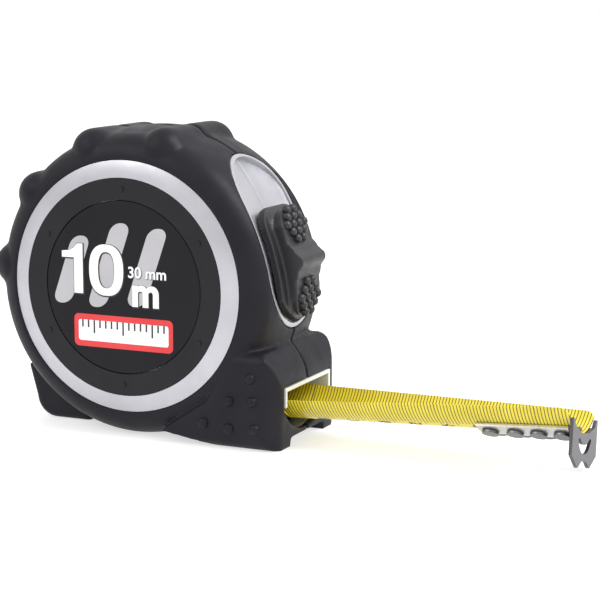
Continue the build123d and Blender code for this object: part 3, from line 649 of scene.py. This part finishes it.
def rounded_bar(length, height, corner, lean=0.0):
    """Rounded bar, its top pushed sideways by lean times its height."""
    points = []
    for cx, cy, start in ((1, 1, 0), (-1, 1, 90), (-1, -1, 180), (1, -1, 270)):
        for k in range(7):
            angle = radians(start + 15 * k)
            x = cx * (length / 2 - corner) + corner * cos(angle)
            y = cy * (height / 2 - corner) + corner * sin(angle)
            points.append((x + lean * y, y))
    return outline(points)


def figure_one(g):
    """The figure 1, with a flag, grown all round by g millimetres."""
    stem = ((0.6 - g, -7.6 - g), (3.7 + g, -7.6 - g), (3.7 + g, 7.6 + g), (1.8 - g, 7.6 + g))
    flag = ((0.7, 6.3 + g), (-1.0, 5.4 + g), (-3.6 - g, 5.1 + g), (-3.6 - g, 3.2 - g), (0.6 - g, 3.2 - g))
    return outline([(x * MM, y * MM) for x, y in stem + flag])


def figure_nought(grow):
    """The figure 0: a ring between two squarish ovals, grown both ways by some millimetres."""
    sides = 64
    points, faces = [], []
    for half_x, half_y in ((5.9 + grow, 7.8 + grow), (2.8 - grow, 5.5 - grow)):
        for k in range(sides):
            c, v = cos(2 * pi * k / sides), sin(2 * pi * k / sides)
            points.append((half_x * MM * abs(c) ** 0.82 * (1 if c > 0 else -1),
                           half_y * MM * abs(v) ** 0.82 * (1 if v > 0 else -1), 0))
    for k in range(sides):
        n = (k + 1) % sides
        faces.append((k, n, sides + n, sides + k))
    mesh = bpy.data.meshes.new("nought")
    mesh.from_pydata(points, [], faces)
    return mesh


def make_label():
    # Leaning grey bars behind the numbers
    for k, (x, z, height) in enumerate(((-17.5, 4.5, 21.0), (-4.5, 6.5, 26.0), (8.5, 6.5, 24.0))):
        bar = rounded_bar(6.5 * MM, height * MM, 3.0 * MM, 0.35)
        on_badge(f"label_band_{k + 1}", bar, x * MM, z * MM, 1, "ink_grey")
    # White figures over a slightly larger, dropped black copy of themselves
    for layer, grow, drop, material in ((3, 0.3, 0.15, "ink_black"), (4, 0.0, 0.0, "ink_white")):
        part = material.split("_")[1]
        figure_z = (5.0 - drop) * MM
        on_badge(f"label_one_{part}", figure_one(grow), (-17.2 + drop) * MM, figure_z, layer, material)
        on_badge(f"label_nought_{part}", figure_nought(grow), (-5.4 + drop) * MM, figure_z, layer, material)
        for name, text, size, x, z, bold in (("metres", "m", 12.5, 8.0, -1.3, 0.035),
                                             ("width", "30 mm", 4.7, 8.6, 4.7, 0.02)):
            letters = text_mesh(text, size * MM, bold + grow * 0.06)
            on_badge(f"label_{name}_{part}", letters, (x + drop) * MM, (z - drop) * MM, layer, material)
    # A piece of ruler in a red surround
    x, z = SCALE_X, SCALE_Z
    on_badge("label_scale_back", rounded_bar(34.0 * MM, 10.0 * MM, 1.6 * MM), x, z, 2, "ink_red")
    on_badge("label_scale_face", rounded_bar(31.0 * MM, 6.4 * MM, 0.8 * MM), x, z, 3, "ink_white")
    for k in range(TICKS):
        height = (4.0 if k % 5 == 2 else 2.3) * MM
        tick = rounded_bar(0.55 * MM, height, 0.1 * MM)
        tick_x = x + (k - TICKS // 2) * TICK_STEP
        on_badge(f"label_tick_{k + 1}", tick, tick_x, SCALE_TOP_Z - height / 2, 4, "ink_black")


# --- Studio ---------------------------------------------------------------------------------------
CAMERA_PLACE = Vector((267.9, -487.9, 132.6)) * MM
CAMERA_TURN = radians(24.3)
CAMERA_DOWN = radians(9.57)
CAMERA_LENS = 108.0
CAMERA_ROLL = radians(-0.18)


def make_camera():
    data = bpy.data.cameras.new("camera")
    data.lens = CAMERA_LENS
    data.sensor_width = 36.0
    data.clip_start, data.clip_end = 0.02, 20
    camera = bpy.data.objects.new("camera", data)
    bpy.context.scene.collection.objects.link(camera)
    a, e = CAMERA_TURN, CAMERA_DOWN
    right = Vector((cos(a), sin(a), 0))
    ahead = Vector((-sin(a) * cos(e), cos(a) * cos(e), -sin(e)))
    right = Matrix.Rotation(CAMERA_ROLL, 3, ahead) @ right
    up = right.cross(ahead)
    turned = Matrix((right, up, -ahead)).transposed().to_4x4()
    camera.matrix_world = Matrix.Translation(CAMERA_PLACE) @ turned
    bpy.context.scene.camera = camera


def area_light(name, place, target, size, power):
    data = bpy.data.lights.new(name, "AREA")
    data.shape = "RECTANGLE"
    data.size, data.size_y = size
    data.energy = power
    light = bpy.data.objects.new(name, data)
    bpy.context.scene.collection.objects.link(light)
    light.location = place
    light.rotation_euler = (Vector(target) - Vector(place)).to_track_quat("-Z", "Y").to_euler()


def make_studio():
    world = bpy.data.worlds.new("studio")
    world.use_nodes = True
    background = world.node_tree.nodes["Background"]
    background.inputs["Color"].default_value = (1.0, 1.0, 1.0, 1)
    background.inputs["Strength"].default_value = 1.0
    bpy.context.scene.world = world
    bpy.context.scene.view_settings.view_transform = "Standard"
    area_light("key", (0.6, 0.1, 0.7), (0.02, 0, 0.05), (0.5, 0.5), 7)
    area_light("fill", (-0.45, -0.6, 0.7), (0, 0, 0.05), (0.6, 0.4), 2)
    sides = 96
    floor_r = 4.0
    mesh = bpy.data.meshes.new("floor")
    rim = [(floor_r * cos(2 * pi * k / sides), floor_r * sin(2 * pi * k / sides), 0) for k in range(sides)]
    mesh.from_pydata(rim, [], [tuple(range(sides))])
    floor = bpy.data.objects.new("floor", mesh)
    bpy.context.scene.collection.objects.link(floor)
    # The floor gives off some light of its own, so that it stays as pale as the world behind it
    shader = Shader("floor", (0.5, 0.5, 0.5), 0.6, Emission_Color=(1, 1, 1, 1), Emission_Strength=0.62)
    shader.roughness(shader.spread(shader.noise(30, 2), 0.55, 0.65))
    mesh.materials.append(shader.material)


finish_cad_nodes()
make_grips()
make_thumb_lock()
make_tape()
make_label()
make_camera()
make_studio()
